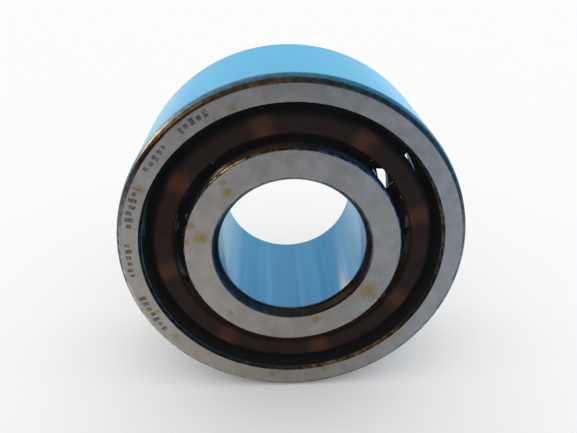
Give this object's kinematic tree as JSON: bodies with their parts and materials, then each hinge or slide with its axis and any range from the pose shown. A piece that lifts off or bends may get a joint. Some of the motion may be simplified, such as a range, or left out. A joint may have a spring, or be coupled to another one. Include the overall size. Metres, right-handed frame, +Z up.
{
  "type": "double-row angular contact ball bearing",
  "caption": "Open angular contact ball bearing: back-to-back ball rows between one-piece rings, moulded snap cages, plain bore for a shaft.",
  "frame": {"origin": "the bearing's centre: on the axis, halfway between the two faces", "axes": "+Y along the bearing's axis from the marked front face to the rear face, +Z up with the bearing standing on its outside diameter, +X completes the right-handed frame"},
  "size_m": [0.04, 0.0176, 0.04],
  "materials": {
    "outer_ring_steel": "satin",
    "inner_ring_steel": "satin",
    "ball_steel": "polished",
    "cage_plastic": "satin"
  },
  "bodies": {
    "outer_ring": {"outer_ring": "outer_ring_steel"},
    "inner_ring": {"inner_ring": "inner_ring_steel"},
    "cage_front": {"cage_front": "cage_plastic"},
    "cage_rear": {"cage_rear": "cage_plastic"},
    "ball_front_1": {"ball_front_1": "ball_steel"},
    "ball_front_2": {"ball_front_2": "ball_steel"},
    "ball_front_3": {"ball_front_3": "ball_steel"},
    "ball_front_4": {"ball_front_4": "ball_steel"},
    "ball_front_5": {"ball_front_5": "ball_steel"},
    "ball_front_6": {"ball_front_6": "ball_steel"},
    "ball_front_7": {"ball_front_7": "ball_steel"},
    "ball_front_8": {"ball_front_8": "ball_steel"},
    "ball_rear_1": {"ball_rear_1": "ball_steel"},
    "ball_rear_2": {"ball_rear_2": "ball_steel"},
    "ball_rear_3": {"ball_rear_3": "ball_steel"},
    "ball_rear_4": {"ball_rear_4": "ball_steel"},
    "ball_rear_5": {"ball_rear_5": "ball_steel"},
    "ball_rear_6": {"ball_rear_6": "ball_steel"},
    "ball_rear_7": {"ball_rear_7": "ball_steel"},
    "ball_rear_8": {"ball_rear_8": "ball_steel"}
  },
  "joints": [
    {"name": "inner_ring_spin", "type": "hinge", "parent": "outer_ring", "child": "inner_ring", "pos_m": [0, 0, 0], "axis": [0, 1, 0], "continuous": true},
    {"name": "cage_front_orbit", "type": "hinge", "parent": "outer_ring", "child": "cage_front", "pos_m": [0, 0, 0], "axis": [0, 1, 0], "continuous": true},
    {"name": "cage_rear_orbit", "type": "hinge", "parent": "outer_ring", "child": "cage_rear", "pos_m": [0, 0, 0], "axis": [0, 1, 0], "continuous": true},
    {"name": "ball_front_1_roll", "type": "hinge", "parent": "cage_front", "child": "ball_front_1", "pos_m": [0.01413, -0.0038, 0.00326], "axis": [-0.4872, 0.866, -0.1125], "continuous": true},
    {"name": "ball_front_2_roll", "type": "hinge", "parent": "cage_front", "child": "ball_front_2", "pos_m": [0.00768, -0.0038, 0.0123], "axis": [-0.265, 0.866, -0.424], "continuous": true},
    {"name": "ball_front_3_roll", "type": "hinge", "parent": "cage_front", "child": "ball_front_3", "pos_m": [-0.00326, -0.0038, 0.01413], "axis": [0.1125, 0.866, -0.4872], "continuous": true},
    {"name": "ball_front_4_roll", "type": "hinge", "parent": "cage_front", "child": "ball_front_4", "pos_m": [-0.0123, -0.0038, 0.00768], "axis": [0.424, 0.866, -0.265], "continuous": true},
    {"name": "ball_front_5_roll", "type": "hinge", "parent": "cage_front", "child": "ball_front_5", "pos_m": [-0.01413, -0.0038, -0.00326], "axis": [0.4872, 0.866, 0.1125], "continuous": true},
    {"name": "ball_front_6_roll", "type": "hinge", "parent": "cage_front", "child": "ball_front_6", "pos_m": [-0.00768, -0.0038, -0.0123], "axis": [0.265, 0.866, 0.424], "continuous": true},
    {"name": "ball_front_7_roll", "type": "hinge", "parent": "cage_front", "child": "ball_front_7", "pos_m": [0.00326, -0.0038, -0.01413], "axis": [-0.1125, 0.866, 0.4872], "continuous": true},
    {"name": "ball_front_8_roll", "type": "hinge", "parent": "cage_front", "child": "ball_front_8", "pos_m": [0.0123, -0.0038, -0.00768], "axis": [-0.424, 0.866, 0.265], "continuous": true},
    {"name": "ball_rear_1_roll", "type": "hinge", "parent": "cage_rear", "child": "ball_rear_1", "pos_m": [0.0118, 0.0038, 0.00842], "axis": [0.4071, 0.866, 0.2904], "continuous": true},
    {"name": "ball_rear_2_roll", "type": "hinge", "parent": "cage_rear", "child": "ball_rear_2", "pos_m": [0.00239, 0.0038, 0.0143], "axis": [0.0825, 0.866, 0.4931], "continuous": true},
    {"name": "ball_rear_3_roll", "type": "hinge", "parent": "cage_rear", "child": "ball_rear_3", "pos_m": [-0.00842, 0.0038, 0.0118], "axis": [-0.2904, 0.866, 0.4071], "continuous": true},
    {"name": "ball_rear_4_roll", "type": "hinge", "parent": "cage_rear", "child": "ball_rear_4", "pos_m": [-0.0143, 0.0038, 0.00239], "axis": [-0.4931, 0.866, 0.0825], "continuous": true},
    {"name": "ball_rear_5_roll", "type": "hinge", "parent": "cage_rear", "child": "ball_rear_5", "pos_m": [-0.0118, 0.0038, -0.00842], "axis": [-0.4071, 0.866, -0.2904], "continuous": true},
    {"name": "ball_rear_6_roll", "type": "hinge", "parent": "cage_rear", "child": "ball_rear_6", "pos_m": [-0.00239, 0.0038, -0.0143], "axis": [-0.0825, 0.866, -0.4931], "continuous": true},
    {"name": "ball_rear_7_roll", "type": "hinge", "parent": "cage_rear", "child": "ball_rear_7", "pos_m": [0.00842, 0.0038, -0.0118], "axis": [0.2904, 0.866, -0.4071], "continuous": true},
    {"name": "ball_rear_8_roll", "type": "hinge", "parent": "cage_rear", "child": "ball_rear_8", "pos_m": [0.0143, 0.0038, -0.00239], "axis": [0.4931, 0.866, -0.0825], "continuous": true}
  ],
  "couplings": [
    {"joint": "cage_front_orbit", "follows": "inner_ring_spin", "ratio": 0.39926},
    {"joint": "cage_rear_orbit", "follows": "inner_ring_spin", "ratio": 0.39926},
    {"joint": "ball_front_1_roll", "follows": "inner_ring_spin", "ratio": -2.0619},
    {"joint": "ball_front_2_roll", "follows": "inner_ring_spin", "ratio": -2.0619},
    {"joint": "ball_front_3_roll", "follows": "inner_ring_spin", "ratio": -2.0619},
    {"joint": "ball_front_4_roll", "follows": "inner_ring_spin", "ratio": -2.0619},
    {"joint": "ball_front_5_roll", "follows": "inner_ring_spin", "ratio": -2.0619},
    {"joint": "ball_front_6_roll", "follows": "inner_ring_spin", "ratio": -2.0619},
    {"joint": "ball_front_7_roll", "follows": "inner_ring_spin", "ratio": -2.0619},
    {"joint": "ball_front_8_roll", "follows": "inner_ring_spin", "ratio": -2.0619},
    {"joint": "ball_rear_1_roll", "follows": "inner_ring_spin", "ratio": -2.0619},
    {"joint": "ball_rear_2_roll", "follows": "inner_ring_spin", "ratio": -2.0619},
    {"joint": "ball_rear_3_roll", "follows": "inner_ring_spin", "ratio": -2.0619},
    {"joint": "ball_rear_4_roll", "follows": "inner_ring_spin", "ratio": -2.0619},
    {"joint": "ball_rear_5_roll", "follows": "inner_ring_spin", "ratio": -2.0619},
    {"joint": "ball_rear_6_roll", "follows": "inner_ring_spin", "ratio": -2.0619},
    {"joint": "ball_rear_7_roll", "follows": "inner_ring_spin", "ratio": -2.0619},
    {"joint": "ball_rear_8_roll", "follows": "inner_ring_spin", "ratio": -2.0619}
  ]
}
